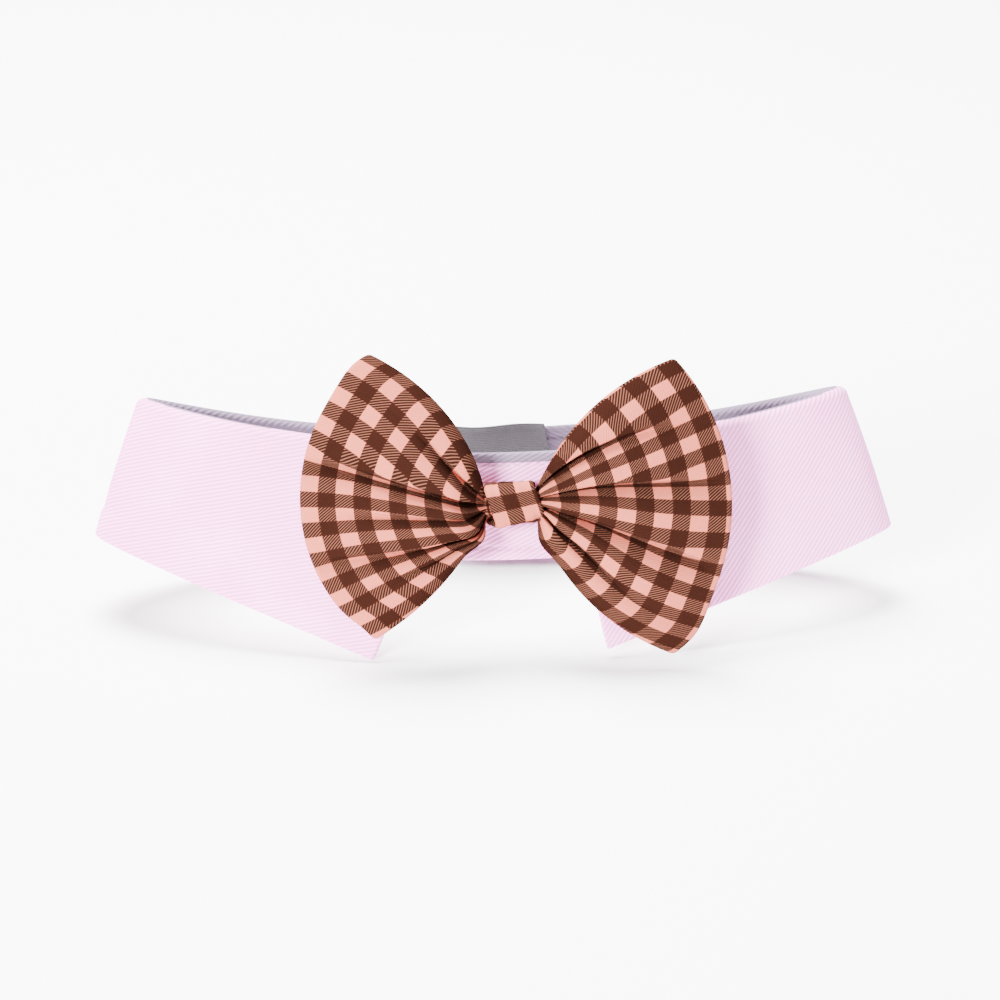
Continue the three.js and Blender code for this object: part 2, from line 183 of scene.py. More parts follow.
# It is an allowance, chosen for cloth that is crushed into the gathers and isn't modelled, and not a
# measured cut. Of the whole rectangle the left wing holds about 0.59 and the right one about 0.62, which
# is less than a gathered tube has.
GATHER_ALLOWANCE = 0.66

# A fold's line crosses the cloth at these shares of its height at the knot, midway and at the outer
# edge. It has a depth, a reach and a width, and the threads that meet it from above and from below, as
# shares of the cloth gathered in the knot.
FOLD_COLUMNS = ("knot", "mid", "edge", "depth", "reach", "above", "below", "width")
LEFT_FOLDS = [
    (0.28, 0.175, 0.12, 4.4 * MM, 0.52, 0.02, 0.04, 0.085),
    (0.485, 0.422, 0.378, 5.6 * MM, 1.25, 0.11, 0.36, 0.08),
    (0.70, 0.572, 0.555, 3.2 * MM, 0.75, 0.47, 0.53, 0.065),
    (0.92, 0.745, 0.69, 5.4 * MM, 1.1, 0.66, 0.76, 0.075),
    (0.97, 0.85, 0.83, 2.4 * MM, 0.8, 0.85, 0.88, 0.06),
]
RIGHT_FOLDS = [
    (0.07, 0.185, 0.215, 5.0 * MM, 0.9, 0.05, 0.12, 0.075),
    (0.33, 0.397, 0.43, 5.2 * MM, 1.2, 0.25, 0.47, 0.075),
    (0.56, 0.632, 0.69, 5.8 * MM, 1.25, 0.60, 0.77, 0.08),
    (0.70, 0.845, 0.89, 4.0 * MM, 0.7, 0.87, 0.91, 0.065),
]

WINGS = [
    {"name": "wing_cloth_left", "node": "bow_wing_left", "side": -1,
     "top_angle": 51.3, "bottom_angle": 47.2, "top_bulge": 25.5, "bottom_bulge": 17,
     "top": 0.91, "middle": 0.96, "bottom": 0.85,
     "edge_bumps": [(0.06, 0.085, 1.2 * MM), (0.93, 0.05, -0.6 * MM)],
     "knot_bulge": 28, "bulge_at": 0.09, "bulge_width": 0.10, "column_shift": 0.0,
     "row_shift": [(0, 0), (0.18, 0.33), (0.5, 0.28), (0.8, 0.15), (1, 0)],
     "check": 4.14 * MM, "first_column": 0.0, "first_row": -0.786, "rows": 21.41,
     "gather_top": 0.0, "gather_bottom": 0.95,
     "folds": [dict(zip(FOLD_COLUMNS, row)) for row in LEFT_FOLDS]},
    {"name": "wing_cloth_right", "node": "bow_wing_right", "side": 1,
     "top_angle": 43.5, "bottom_angle": 46.8, "top_bulge": 25, "bottom_bulge": 27,
     "top": 0.984, "middle": 1.012, "bottom": 0.995,
     "edge_bumps": [(0.9, 0.09, 1.3 * MM)],
     "knot_bulge": 17, "bulge_at": 0.10, "bulge_width": 0.10, "column_shift": 0.25,
     "row_shift": [(0, 0), (0.25, 0.12), (0.5, 0.1), (0.65, 0.22), (0.78, 0), (0.88, -0.35), (1, -0.5)],
     "check": 4.37 * MM, "first_column": 0.94, "first_row": 0.75, "rows": 21.41,
     "gather_top": 0.01, "gather_bottom": 0.96,
     "folds": [dict(zip(FOLD_COLUMNS, row)) for row in RIGHT_FOLDS]},
]

# Thread
STITCH_LENGTH = 2.1 * MM
STITCH_PITCH = 2.7 * MM
THREAD_RADIUS = 0.13 * MM
STITCH_SINK = 0.75  # share of the groove's depth at which the thread lies

BAND_HALF = BAND_THICKNESS / 2
OVERLAP_INSET = BAND_THICKNESS + PAD_THICKNESS + 2 * SEAM_GAP
EDGE_SHARES = np.array([0.0, 0.07, 0.29, 0.62, 1.0])  # where a rounded edge is cut, from 0 at its rim


# The shape of the collar

def smooth(share):
    x = np.clip(share, 0, 1)
    return x * x * (3 - 2 * x)


def oval_place(angle):
    depth = NECK_HALF_DEPTH * (1 - NECK_PINCH * np.sin(angle) ** 2)
    return NECK_HALF_WIDTH * np.sin(angle), -depth * np.cos(angle)


OVAL_ANGLES = np.linspace(0, 2 * np.pi, 4001)
OVAL_LENGTHS = np.concatenate([[0], np.cumsum(np.hypot(*np.diff(oval_place(OVAL_ANGLES))))])
HALF_ROUND = OVAL_LENGTHS[-1] / 2


def neck_at(length):
    """The oval's point and its outward direction at a length from the centre front."""
    angle = np.interp(np.mod(length, 2 * HALF_ROUND), OVAL_LENGTHS, OVAL_ANGLES)
    x, y = oval_place(angle)
    x0, y0 = oval_place(angle - 0.001)
    x1, y1 = oval_place(angle + 0.001)
    run = np.hypot(x1 - x0, y1 - y0)
    return x, y, (y1 - y0) / run, (x0 - x1) / run


def collar_point(length, out, down, flare):
    """A point out from the band's middle surface and down from its top edge."""
    x, y, out_x, out_y = neck_at(length)
    apex = math.sqrt(CONE_SLANT ** 2 - NECK_HALF_DEPTH ** 2)
    top = apex - np.sqrt(CONE_SLANT ** 2 - x * x - y * y)
    lean_x = flare * x / CONE_SLANT
    lean_y = flare * y / CONE_SLANT
    fall = -np.sqrt(1 - lean_x ** 2 - lean_y ** 2)
    return np.stack(np.broadcast_arrays(
        x + out_x * out + lean_x * down,
        y + out_y * out + lean_y * down,
        top + fall * down,
    ), -1)


# The collar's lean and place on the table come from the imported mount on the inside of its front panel.
MOUNT = next(m for m in frame["record"]["mounts"] if m["name"] == "neck_face")
PANEL_TILT = math.asin(BAND_FLARE * NECK_HALF_DEPTH / CONE_SLANT)
RESTING_LEAN = math.atan2(-MOUNT["axis"][2], MOUNT["axis"][1]) - PANEL_TILT


def turn_x(points, angle):
    y = points[..., 1] * math.cos(angle) - points[..., 2] * math.sin(angle)
    z = points[..., 1] * math.sin(angle) + points[..., 2] * math.cos(angle)
    return np.stack([points[..., 0], y, z], -1)


PANEL_SEAT = collar_point(FRONT_PANEL / 2, -BAND_HALF, BAND_HEIGHT / 2, BAND_FLARE) * [0, 1, 1]
TABLE_SHIFT = np.array(MOUNT["pos_m"]) - turn_x(PANEL_SEAT, -RESTING_LEAN)


def on_table(points):
    return turn_x(points, -RESTING_LEAN) + TABLE_SHIFT


def bow_on_table(points):
    seat = collar_point(FRONT_PANEL / 2, BAND_HALF, BOW_DROP, BAND_FLARE)
    return on_table(turn_x(points, -PANEL_TILT) + [BOW_OFFSET, seat[1], seat[2]])


# Cloth meshes

def new_piece(name, points, faces, uvs, material):
    """A mesh object from points, faces and a flat cloth coordinate for each point."""
    mesh = bpy.data.meshes.new(name)
    mesh.from_pydata([tuple(p) for p in points], [], [tuple(f) for f in faces])
    layer = mesh.uv_layers.new(name="cloth")
    corners = np.zeros(len(mesh.loops), np.int32)
    mesh.loops.foreach_get("vertex_index", corners)
    layer.data.foreach_set("uv", np.asarray(uvs, np.float32)[corners].ravel())
    mesh.materials.append(material)
    piece = bpy.data.objects.new(name, mesh)
    bpy.context.scene.collection.objects.link(piece)
    return piece


def finish_mesh(piece, merge=1e-7):
    """Closes a mesh, turns its faces outwards and shades it smooth."""
    shape = bmesh.new()
    shape.from_mesh(piece.data)
    bmesh.ops.remove_doubles(shape, verts=shape.verts, dist=merge)
    bmesh.ops.dissolve_degenerate(shape, edges=shape.edges, dist=merge)
    bmesh.ops.recalc_face_normals(shape, faces=shape.faces)
    if shape.calc_volume(signed=True) < 0:
        bmesh.ops.reverse_faces(shape, faces=shape.faces)
    shape.to_mesh(piece.data)
    shape.free()
    piece.data.polygons.foreach_set("use_smooth", [True] * len(piece.data.polygons))


def grid_faces(rows, columns, start=0, flip=False):
    i, j = np.meshgrid(np.arange(rows - 1), np.arange(columns - 1), indexing="ij")
    a = (start + i * columns + j).ravel()
    quads = np.stack([a, a + 1, a + columns + 1, a + columns], -1)
    return quads[:, ::-1] if flip else quads


def grid_normals(middle):
    along = np.gradient(middle, axis=0)
    across = np.gradient(middle, axis=1)
    normal = np.cross(along, across)
    return normal / (np.linalg.norm(normal, axis=-1, keepdims=True) + 1e-12)


def cloth_shell(name, middle, uvs, thickness, rim, material, outer=0.0, inner=0.0):
    """Cloth with rounded edges: rim is each point's distance from the nearest edge of the cloth.
    outer and inner raise or press the two faces."""
    half = thickness / 2
    share = np.clip(rim / half, 0, 1)
    depth = half * np.sqrt(1 - (1 - share) ** 2)
    normal = grid_normals(middle)
    grow = share ** 0.5
    outside = middle + normal * (depth + outer * grow)[..., None]
    inside = middle - normal * (depth + inner * grow)[..., None]
    rows, columns = middle.shape[:2]
    points = np.concatenate([outside.reshape(-1, 3), inside.reshape(-1, 3)])
    faces = np.concatenate([
        grid_faces(rows, columns),
        grid_faces(rows, columns, rows * columns, flip=True),
    ])
    flat = np.concatenate([uvs.reshape(-1, 2)] * 2)
    piece = new_piece(name, points, faces, flat, material)
    finish_mesh(piece)
    return piece


def spaced(start, end, step, edge):
    """Lengths from start to end, closer together at both ends for a rounded edge."""
    rim = EDGE_SHARES * edge
    middle = np.linspace(start + rim[-1], end - rim[-1], max(3, int((end - start) / step)))
    return np.concatenate([start + rim[:-1], middle, end - rim[-2::-1]])


def from_edges(s, start, end, d, height):
    """The distance from the nearest edge of a strip."""
    return np.minimum(np.minimum(s - start, end - s), np.minimum(d, height - d))


def deselect_all():
    for other in bpy.context.selected_objects:
        other.select_set(False)


def seat(piece, node, slot):
    """The piece stands for a node, whose imported part is hidden, and rides on the body. The slot is not
    used.
    """
    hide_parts(node)
    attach(piece, "root")


def waves(along, across, reach, seed):
    """Gentle unevenness of cloth: a few crossed waves of about a given length."""
    chance = np.random.default_rng(seed)
    total = 0
    for _ in range(6):
        heading = chance.uniform(0, 2 * math.pi)
        size = reach * chance.uniform(0.6, 1.7)
        phase = chance.uniform(0, 2 * math.pi)
        place = along * math.cos(heading) + across * math.sin(heading)
        total = total + np.sin(place * 2 * math.pi / size + phase)
    return total / 6


# Materials

WALE_WANDER = 0.35 * MM
CROSSING_SHARE = 0.45  # from one crossing thread to the next, as a share of the wale pitch
STRIPE_EDGE = 14.0  # how sharply a gingham stripe begins
THREAD_EDGE = 3.0  # and a twill line in it
GINGHAM_RELIEF = 0.07 * MM
LABEL_RIB = 0.42 * MM
LABEL_THREAD = 0.6 * MM
LABEL_RELIEF = 0.06 * MM
PILE_RELIEF = 0.4 * MM
TWIST_RELIEF = 0.05 * MM


class Value:
    """A shader value. Sums on it add Math nodes to its material."""

    def __init__(self, shader, socket):
        self.shader = shader
        self.socket = socket

    def sum(self, operation, *others):
        terms = dict(enumerate([self, *others]))
        return self.shader.node("ShaderNodeMath", {"operation": operation}, terms)

    def __add__(self, other):
        return self.sum("ADD", other)

    def __sub__(self, other):
        return self.sum("SUBTRACT", other)

    def __rsub__(self, other):
        return self.sum("MULTIPLY_ADD", -1.0, other)

    def __mul__(self, other):
        return self.sum("MULTIPLY", other)

    __radd__ = __add__
    __rmul__ = __mul__

    def sine(self):
        return self.sum("SINE")

    def clamped(self):
        return self.shader.node("ShaderNodeClamp", {}, {"Value": self})


class Shader:
    """One material and its nodes."""

    def __init__(self, name, **constants):
        self.material = bpy.data.materials.new(name)
        self.material.use_nodes = True
        self.tree = self.material.node_tree
        self.surface = self.tree.nodes["Principled BSDF"]
        for socket, value in constants.items():
            self.surface.inputs[socket.replace("_", " ")].default_value = value

    def node(self, kind, settings, inputs, output=0):
        """Any node: its settings first, then the values or links of its sockets."""
        made = self.tree.nodes.new(kind)
        for name, value in settings.items():
            setattr(made, name, value)
        for name, value in inputs.items():
            if isinstance(value, Value):
                self.tree.links.new(value.socket, made.inputs[name])
            else:
                made.inputs[name].default_value = value
        return Value(self, made.outputs[output])

    def cloth(self):
        """The two flat cloth coordinates, in metres."""
        flat = self.node("ShaderNodeUVMap", {"uv_map": "cloth"}, {})
        return tuple(self.node("ShaderNodeSeparateXYZ", {}, {0: flat}, side) for side in ("X", "Y"))

    def noise(self, scale, detail=3.0, roughness=0.55):
        place = self.node("ShaderNodeTexCoord", {}, {}, "Object")
        return self.node("ShaderNodeTexNoise", {}, {
            "Vector": place, "Scale": scale, "Detail": detail, "Roughness": roughness})

    def mix(self, share, first, second, blend="MIX"):
        return self.node("ShaderNodeMix", {"data_type": "RGBA", "blend_type": blend},
                         {0: share, 6: first, 7: second}, 2)

    def feed(self, socket, value):
        self.tree.links.new(value.socket, self.surface.inputs[socket])

    def relief(self, height, depth):
        self.feed("Normal", self.node("ShaderNodeBump", {}, {
            "Strength": 1.0, "Distance": depth, "Height": height}))


def times(colour, *shares):
    """A colour darker or lighter by one share, or by one for each channel."""
    shares = shares if len(shares) == 3 else shares * 3
    return tuple(c * k for c, k in zip(colour[:3], shares)) + (1.0,)


def material(name):
    found = bpy.data.materials.get(name)
    if found is None:
        raise RuntimeError(f"the material {name} isn't made yet")
    return found


def ridges(along, across, pitch, crossing):
    """A wale's height, from 0 in the groove to 1 on the ridge, with its threads crossing it."""
    wale = (across * (2 * math.pi / pitch)).sine() * 0.5 + 0.5
    thread = ((along + across * 0.6) * (2 * math.pi / crossing)).sine() * 0.5 + 0.5
    return wale, wale * 0.8 + wale * thread * 0.2


def twill_cloth(sizes):
    """White twill: pale wales, grooves that wander a little with painted shade in them, and faint patches.
    """
    shader = Shader("white_twill", Roughness=0.9, Specular_IOR_Level=0.1)
    along, across = shader.cloth()
    wander = shader.noise(420.0, 2.0) * WALE_WANDER - WALE_WANDER / 2
    wale, height = ridges(along, across + wander, sizes.wale_pitch, sizes.wale_pitch * CROSSING_SHARE)
    # painted shade: the grooves between the wales are darker
    groove_shaded = shader.mix(wale * 0.85 + 0.15, times(sizes.cloth_colour, 0.55), tuple(sizes.cloth_colour))
    patch = (shader.noise(60.0, 4.0) * 2.0 - 0.6).clamped()
    shade = times(sizes.cloth_colour, 0.965, 0.95, 0.975)
    shader.feed("Base Color", shader.mix(patch * 0.45, groove_shaded, shade, "MULTIPLY"))
    shader.relief(height + shader.noise(2600.0, 2.0) * 0.35, sizes.wale_height)
    return shader.material


def inside_shade_cloth(sizes):
    """Painted shade: a dark grey-lavender cloth that stands in for the shade inside the collar's loop, with
    the same wales.
    """
    shader = Shader("band_inside_shade", Roughness=0.9, Specular_IOR_Level=0.1)
    along, across = shader.cloth()
    wale, height = ridges(along, across, sizes.wale_pitch, sizes.wale_pitch * CROSSING_SHARE)
    # painted shade: the grooves are darker still
    groove = times(sizes.inside_shade_colour, 0.80)
    shader.feed("Base Color", shader.mix(wale * 0.75 + 0.25, groove, tuple(sizes.inside_shade_colour)))
    shader.relief(height, sizes.wale_height)
    return shader.material


def gingham_cloth(sizes):
    """Gingham: dark and pale stripes both ways, and where they cross, twill lines of both threads."""
    shader = Shader("gingham_cotton", Roughness=0.9, Specular_IOR_Level=0.0)
    along, across = shader.cloth()
    pale = shader.noise(30.0, 3.0)
    wobble = (shader.noise(900.0, 2.0) - 0.5) * 0.05
    u = along + wobble
    v = across + wobble
    warp = (0.5 - (u * math.pi).sine() * STRIPE_EDGE).clamped()
    weft = (0.5 - (v * math.pi).sine() * STRIPE_EDGE).clamped()
    twill = ((u - v) * (2 * math.pi * sizes.twill_lines)).sine()
    over = (twill * THREAD_EDGE + sizes.dark_share).clamped()
    under = (sizes.dark_share - twill * THREAD_EDGE).clamped()
    mixed = warp + weft - warp * weft * 2.0
    brown = (warp * over + weft * under).clamped()
    worn = (pale * 1.6 - 0.4).clamped()
    pink = shader.mix(worn, tuple(sizes.pink), times(sizes.pink, 0.93))
    dark = shader.mix(worn, tuple(sizes.brown), times(sizes.brown, 1.25))
    pale_thread = shader.mix(mixed.clamped(), pink, tuple(sizes.tan))
    shader.feed("Base Color", shader.mix(brown, pale_thread, dark))
    shader.relief(twill * 0.5 + shader.noise(3000.0, 2.0) * 0.6, GINGHAM_RELIEF)
    return shader.material


def label_cloth(sizes):
    # painted shade: the label's colour is dark grey to stand in for the shade it lies in; its own cloth is
    # white
    shader = Shader("shaded_woven_label", Roughness=0.5, Sheen_Weight=0.3, Sheen_Roughness=0.4)
    along, across = shader.cloth()
    rib = (across * (2 * math.pi / LABEL_RIB)).sine() * 0.5 + 0.5
    thread = (along * (2 * math.pi / LABEL_THREAD)).sine() * 0.5 + 0.5
    dim = times(sizes.shaded_label_colour, 0.88)
    shader.feed("Base Color", shader.mix(rib * 0.7 + thread * 0.3, dim, tuple(sizes.shaded_label_colour)))
    shader.relief(rib + thread * 0.5, LABEL_RELIEF)
    return shader.material


def tape_cloth(sizes):
    shader = Shader("tape_pile", Roughness=1.0, Sheen_Weight=0.6, Sheen_Roughness=0.6)
    pile = shader.noise(2200.0, 5.0, 0.7)
    dim = times(sizes.cloth_colour, 0.7)
    shader.feed("Base Color", shader.mix((pile * 2.4 - 0.7).clamped(), dim, tuple(sizes.cloth_colour)))
    shader.relief(pile, PILE_RELIEF)
    return shader.material


def thread_finish(sizes):
    shader = Shader("sewing_thread", Roughness=0.6, Sheen_Weight=0.3)
    twist = shader.noise(2400.0, 2.0)
    dim = times(sizes.thread_colour, 0.8)
    shader.feed("Base Color", shader.mix((twist * 2.0 - 0.5).clamped(), dim, tuple(sizes.thread_colour)))
    shader.relief(twist, TWIST_RELIEF)
    return shader.material


def floor_finish(sizes):
    shader = Shader("pale_floor", Roughness=0.9)
    cloud = shader.noise(1.4, 3.0)
    shader.feed("Base Color", shader.mix(cloud, times(sizes.floor_colour, 0.985), tuple(sizes.floor_colour)))
    return shader.material


# The pieces of the collar

def dive(length):
    """How far the band's lower end has gone under its upper one, from 0 to 1."""
    return smooth((-HALF_ROUND - OVERLAP_START - length) / OVERLAP_RAMP)


def groove(distance):
    """The dent of a row of stitches, from 0 to 1."""
    return np.exp(-(distance / (BAND_GROOVE_WIDTH / 2)) ** 2)


def turned_wales(along, across, degrees):
    """Cloth coordinates turned so that the wales run along the first of them."""
    turn = math.radians(degrees)
    return np.stack([
        along * math.cos(turn) + across * math.sin(turn),
        -along * math.sin(turn) + across * math.cos(turn),
    ], -1)


def make_band(sizes):
    start = -HALF_ROUND - TAB_END
    end = HALF_ROUND - TOP_END
    lengths = spaced(start, end, 1.1 * MM, BAND_HALF)
    downs = spaced(0, BAND_HEIGHT, 0.42 * MM, BAND_HALF)
    s, d = np.meshgrid(lengths, downs, indexing="ij")
    middle = on_table(collar_point(s, -OVERLAP_INSET * dive(s), d - TAB_RISE * dive(s), BAND_FLARE))
    rim = from_edges(s, start, end, d, BAND_HEIGHT)
    seams = groove(d - BAND_SEAM_INSET) + groove(BAND_HEIGHT - BAND_SEAM_INSET - d)
    ends = groove(s - start - BAND_SEAM_INSET) + groove(end - BAND_SEAM_INSET - s)
    press = -BAND_GROOVE_DEPTH * np.minimum(seams + ends, 1)
    swell = BAND_SWELL * waves(s, d, 16 * MM, 3)
    puckers = BAND_PUCKER * np.sin(s * 2 * math.pi / (STITCH_PITCH * 2)) * (seams > 0.05)
    band = cloth_shell(
        "band_cloth", middle, turned_wales(s, -d, sizes.band_wale_turn), BAND_THICKNESS, rim,
        material("white_twill"), press + puckers + swell - BAND_EASE, press - puckers - BAND_EASE,
    )
    # painted shade: dark cloth on the band's inside and on a strip along its top edge outside, above the
    # stitches
    paint_inside_shade(band, material("band_inside_shade"), 2 * BAND_HEIGHT, BAND_SEAM_INSET - BAND_GROOVE_WIDTH / 3)
    seat(band, "collar_band", "twill")
    return band


def leaf_cut(leaf):
    """The leaf's height along the band, with its point rounded off."""
    front_at = leaf["gap"] * LEAF_TOP_GAP
    point_length = leaf["length"] * LEAF_POINT_LENGTH
    side_height = leaf["height"] * LEAF_SIDE_HEIGHT
    tip_at = leaf["spread"] * POINT_SPREAD / (1 + point_length / CONE_SLANT)
    side_arc = CONE_SLANT + side_height
    turn_at = tip_at + CONE_SLANT * math.acos(side_arc / (CONE_SLANT + point_length))

    def height_at(s):
        front = LEAF_FRONT_HEIGHT + (point_length - LEAF_FRONT_HEIGHT) * (s - front_at) / (tip_at - front_at)
        side = side_arc / np.cos(np.clip((turn_at - s) / CONE_SLANT, 0, 1)) - CONE_SLANT
        behind = smooth((s - turn_at) / (HALF_ROUND - turn_at))
        lower = np.where(s < turn_at, side, side_height + (LEAF_BACK_HEIGHT - side_height) * behind)
        blend = np.clip(0.5 + 0.5 * (lower - front) / POINT_ROUND, 0, 1)
        return lower + (front - lower) * blend - POINT_ROUND * blend * (1 - blend)

    return front_at, tip_at, height_at


def make_leaf(leaf):
    """A leaf from its lip inside the neck, over the band's top edge and down to its cut lower edge."""
    front_at, tip_at, height_at = leaf_cut(leaf)
    end = HALF_ROUND + leaf["beyond"]
    half = LEAF_THICKNESS / 2
    front = np.linspace(front_at, tip_at + FINE_PAST_POINT, LEAF_CUTS["front"])
    side = np.linspace(tip_at + FINE_PAST_POINT, end - half, LEAF_CUTS["side"])[1:]
    lengths = np.concatenate([front, side, end - half * EDGE_SHARES[-2::-1]])
    heights = height_at(lengths)
    slope = np.sqrt(1 + np.gradient(heights, lengths) ** 2)
    radius = BAND_HALF + SEAM_GAP + half
    lip = np.concatenate([half * EDGE_SHARES, np.linspace(half, LEAF_LIP, LEAF_CUTS["lip"])[1:]])
    turns = np.linspace(math.pi, 0, LEAF_CUTS["roll"])[1:]
    roll_length = math.pi * radius * ROLL_SHARE
    above = len(lip) + len(turns)
    points = []
    flats = []
    edges = []
    for s, height, steep in zip(lengths, heights, slope):
        edge = EDGE_SHARES * np.minimum(half * steep, height * LOW_EDGE)
        falls = np.concatenate([
            np.linspace(0, height - edge[-1], LEAF_CUTS["fall"])[1:],
            height - edge[-2::-1],
        ])
        down = np.concatenate([LEAF_LIP - lip, -(radius - ROLL_PRESS) * np.sin(turns), falls])
        out = np.concatenate([
            np.full(len(lip), -radius),
            radius * np.cos(turns),
            radius + LEAF_BELLY * np.sin(math.pi * falls / height),
        ])
        flare = np.concatenate([np.full(above, BAND_FLARE), np.full(len(falls), LEAF_FLARE)])
        points.append(collar_point(leaf["side"] * s, out, down, flare))
        below = np.concatenate([
            -roll_length - LEAF_LIP + lip,
            -roll_length + roll_length * np.linspace(0, 1, LEAF_CUTS["roll"])[1:],
            falls,
        ])
        arc = CONE_SLANT + below
        turn = s / CONE_SLANT
        flats.append(np.stack([leaf["side"] * arc * math.sin(turn), -arc * math.cos(turn)], -1))
        edges.append(np.concatenate([lip, np.full(len(turns), LEAF_LIP), (height - falls) / steep]))
    flat = np.array(flats)
    from_edge = np.array(edges)
    on_fall = np.arange(from_edge.shape[1]) >= above
    allowance = SEAM_STEP * smooth((SEAM_ALLOWANCE + SEAM_BLEND / 2 - from_edge) / SEAM_BLEND)
    dents = LEAF_DENT * waves(flat[..., 0], flat[..., 1], LEAF_DENT_REACH, 5 + leaf["side"])
    dents = dents * smooth((-flat[..., 1] - LEAF_DENT_TOP) / LEAF_DENT_RAMP)
    piece = cloth_shell(
        leaf["name"], on_table(np.array(points)),
        turned_wales(flat[..., 0], flat[..., 1], leaf["wale_turn"]),
        LEAF_THICKNESS, np.minimum(from_edge, end - lengths[:, None]), material("white_twill"),
        (allowance + dents) * on_fall, -dents * LEAF_BACK_DENT,
    )
    # painted shade: dark cloth on the leaf's inner faces, down past its lip
    paint_inside_shade(piece, material("band_inside_shade"), LEAF_LIP + INSIDE_SHADE_MARGIN)
    seat(piece, leaf["node"], "twill")
    cut = float(np.trapz(heights + roll_length + LEAF_LIP, lengths))
    end - front_at + LEAF_CUT_SPARE
    return piece


def make_closure():
    start = -HALF_ROUND - PAD_CENTRE - PAD_LENGTH / 2
    lengths = spaced(start, start + PAD_LENGTH, 0.8 * MM, PAD_THICKNESS / 2)
    downs = spaced(0, PAD_HEIGHT, 0.8 * MM, PAD_THICKNESS / 2)
    s, d = np.meshgrid(lengths, downs, indexing="ij")
    middle = on_table(collar_point(s, -(BAND_HALF + SEAM_GAP + PAD_THICKNESS / 2), d + PAD_DROP, BAND_FLARE))
    pile = PAD_PILE * waves(s, d, PAD_PILE_REACH, 9)
    rim = from_edges(s, start, start + PAD_LENGTH, d, PAD_HEIGHT)
    pad = cloth_shell("closure_tape", middle, np.stack([s, d], -1), PAD_THICKNESS - PAD_PRESS,
                      rim, material("tape_pile"), pile, pile)
    seat(pad, "closure_pad", "hook_and_loop")
    return pad


def make_label():
    start = -HALF_ROUND - LABEL_CENTRE - LABEL_WIDTH / 2
    lengths = spaced(start, start + LABEL_WIDTH, 0.5 * MM, LABEL_THIN / 2)
    downs = spaced(0, LABEL_HEIGHT, 0.4 * MM, LABEL_THIN / 2)
    s, d = np.meshgrid(lengths, downs, indexing="ij")
    side = (s - start) / LABEL_WIDTH
    lift = LABEL_LIFT * smooth((d / LABEL_HEIGHT - 0.5) / 0.5) * (0.6 + 0.4 * np.cos(2 * math.pi * side))
    out = -(OVERLAP_INSET + BAND_HALF + SEAM_GAP + LABEL_THIN / 2 + LABEL_GAP + lift)
    down = d - TAB_RISE - LABEL_RISE - LABEL_WAVE * np.sin(2 * math.pi * side)
    middle = on_table(collar_point(s - LABEL_SLANT * d, out, down, BAND_FLARE))
    crease = -LABEL_CREASE * groove(d - LABEL_SEAM)
    label = cloth_shell("label_cloth", middle, np.stack([s, d], -1), LABEL_THIN,
                        from_edges(s, start, start + LABEL_WIDTH, d, LABEL_HEIGHT),
                        material("shaded_woven_label"), crease, crease)
    seat(label, "size_label", "label")
    return label


# The bow

def wing_middle(wing, across, out):
    """The middle surface of a wing, as in the part's source."""
    start = WAIST_HALF_HEIGHT * (1 - 2 * across)
    waist = -KNOT_WALL - 2 * SEAM_GAP - WAIST_HALF_DEPTH
    beyond = np.maximum(out, 0)
    top = np.radians(wing["top_angle"] + wing["top_bulge"] * (1 - beyond))
    bulge = wing["knot_bulge"] * np.exp(-((beyond - wing["bulge_at"]) / wing["bulge_width"]) ** 2)
    bottom = -np.radians(wing["bottom_angle"] + wing["bottom_bulge"] * (1 - beyond) + bulge * across ** 2)
    angle = top + (bottom - top) * across
    reach = wing_reach(wing, across) * beyond
    x = wing["side"] * (KNOT_WIDTH / 2 * (1 + np.minimum(out, 0)) + reach * np.cos(angle))
    y = waist - WING_FORWARD * smooth(beyond / WING_FORWARD_RUN)
    return np.stack(np.broadcast_arrays(x, y, start + reach * np.sin(angle)), -1)


def wing_reach(wing, across):
    ends = wing["top"] + (wing["bottom"] - wing["top"]) * across
    swell = wing["middle"] - (wing["top"] + wing["bottom"]) / 2
    total = WING_REACH * (ends + swell * 4 * across * (1 - across))
    for place, width, more in wing["edge_bumps"]:
        total = total + more * np.exp(-((across - place) / width) ** 2)
    height = (wing["top"] + wing["bottom"]) * WING_REACH * math.sin(math.radians(wing["top_angle"]))
    inside = np.clip(np.minimum(across, 1 - across) * height / WING_CORNER, 0, 1)
    return total - WING_CORNER * (1 - np.sqrt(inside * (2 - inside)))


def fold_line(fold, out):
    """Where a fold crosses the cloth: a curve through its places at the knot, midway and at the edge."""
    x = np.clip(out, 0, 1)
    near = fold["knot"] * (1 - x) * (1 - 2 * x)
    far = fold["edge"] * x * (2 * x - 1)
    return near + fold["mid"] * 4 * x * (1 - x) + far


def fold_run(fold, out):
    """How much of a fold's depth is left at a share of the reach."""
    return smooth((out + 0.06) / 0.14) * np.clip((fold["reach"] - out) / fold["reach"], 0, 1) ** 0.8


def fold_shape(wing, across, out):
    """How deep the folds press the cloth, and how far they draw it sideways."""
    press = np.zeros_like(across)
    draw = np.zeros_like(across)
    for fold in wing["folds"]:
        away = (across - fold_line(fold, out)) / (fold["width"] * (1.25 - 0.35 * out))
        run = fold_run(fold, out)
        under_edge = np.clip(1 + away / STEEP_SIDE, 0, 1) ** 1.5
        rise = np.clip(1 - away / GENTLE_SIDE, 0, 1) ** 2
        press = np.maximum(press, fold["depth"] * run * np.where(away < 0, under_edge, rise))
        edge = np.exp(-((away + STEEP_SIDE) / DRAWN_WIDTH) ** 2)
        draw += FOLD_OVERLAP * run * edge * (1 - 0.5 * np.clip(out, 0, 1))
    return press, draw


def fold_crowns(wing, across, out):
    """The rounding of the cloth between two folds, from 0 at a fold to 1 midway."""
    lines = np.stack([np.zeros_like(out), *[fold_line(f, out) for f in wing["folds"]], np.ones_like(out)])
    crown = np.zeros_like(across)
    for above, below in zip(lines[:-1], lines[1:]):
        share = (across - above) / np.maximum(below - above, 1e-3)
        crown += np.where((share > 0) & (share < 1), np.clip(4 * share * (1 - share), 0, 1), 0)
    return crown


